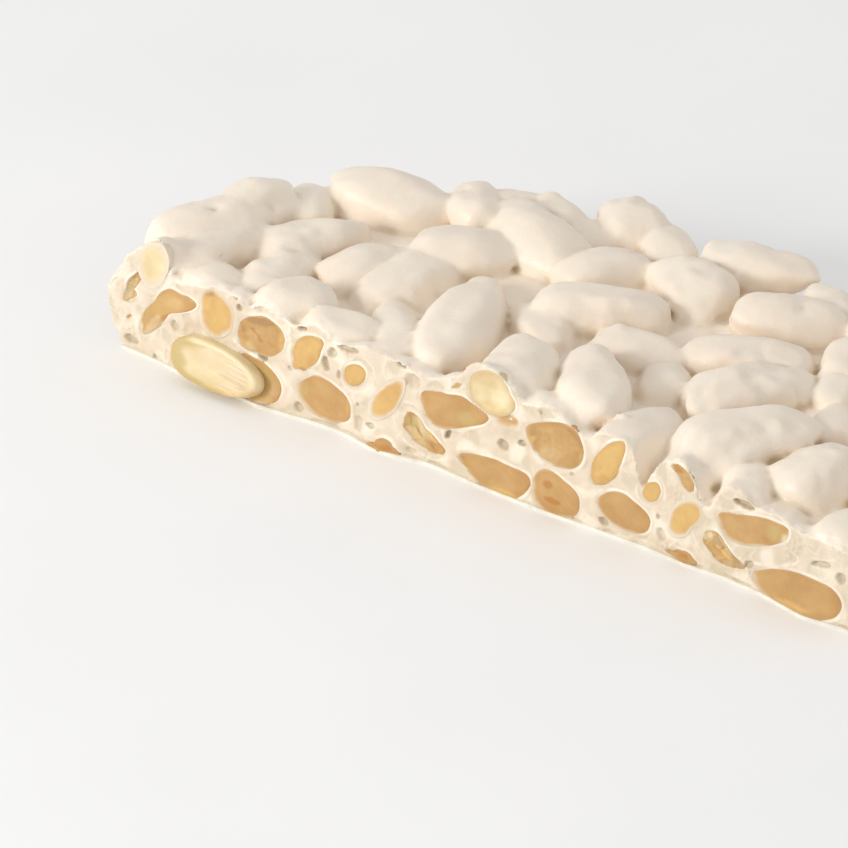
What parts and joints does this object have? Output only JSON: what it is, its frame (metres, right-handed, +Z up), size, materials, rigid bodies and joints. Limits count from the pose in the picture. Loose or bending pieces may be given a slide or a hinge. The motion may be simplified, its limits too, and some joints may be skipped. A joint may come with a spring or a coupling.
{
  "type": "nougat cake half",
  "caption": "Half of a round hard nougat cake, cut straight through to show whole almonds set in white nougat, lying on a thin wafer; a sweet to be served or cut up.",
  "frame": {"origin": "middle of the part's box in plan, on the surface that the wafer lies on", "axes": "+X along the straight cut, to the right when looking at the cut face; +Y from the cut to the round rim; +Z up"},
  "size_m": [0.1872, 0.0858, 0.0268],
  "materials": {
    "nougat": "satin, slightly translucent ivory nougat",
    "almond": "cut toasted almond, tan to golden brown",
    "whole_almond": "blanched almond, pale yellow with a soft gloss",
    "wafer": "matt off-white rice wafer"
  },
  "bodies": {
    "root": {"wafer": "wafer", "nougat": "nougat", "almond_whole": "whole_almond", "almond_01": "almond", "almond_02": "almond", "almond_03": "almond", "almond_04": "almond", "almond_05": "almond", "almond_06": "almond", "almond_07": "almond", "almond_08": "almond", "almond_09": "almond", "almond_10": "almond", "almond_11": "almond", "almond_12": "almond", "almond_13": "almond", "almond_14": "almond", "almond_15": "almond", "almond_16": "almond", "almond_17": "almond", "almond_18": "almond", "almond_19": "almond", "almond_20": "almond", "almond_21": "almond", "almond_22": "almond", "almond_23": "almond", "almond_24": "almond", "almond_25": "almond", "almond_26": "almond"}
  },
  "joints": []
}
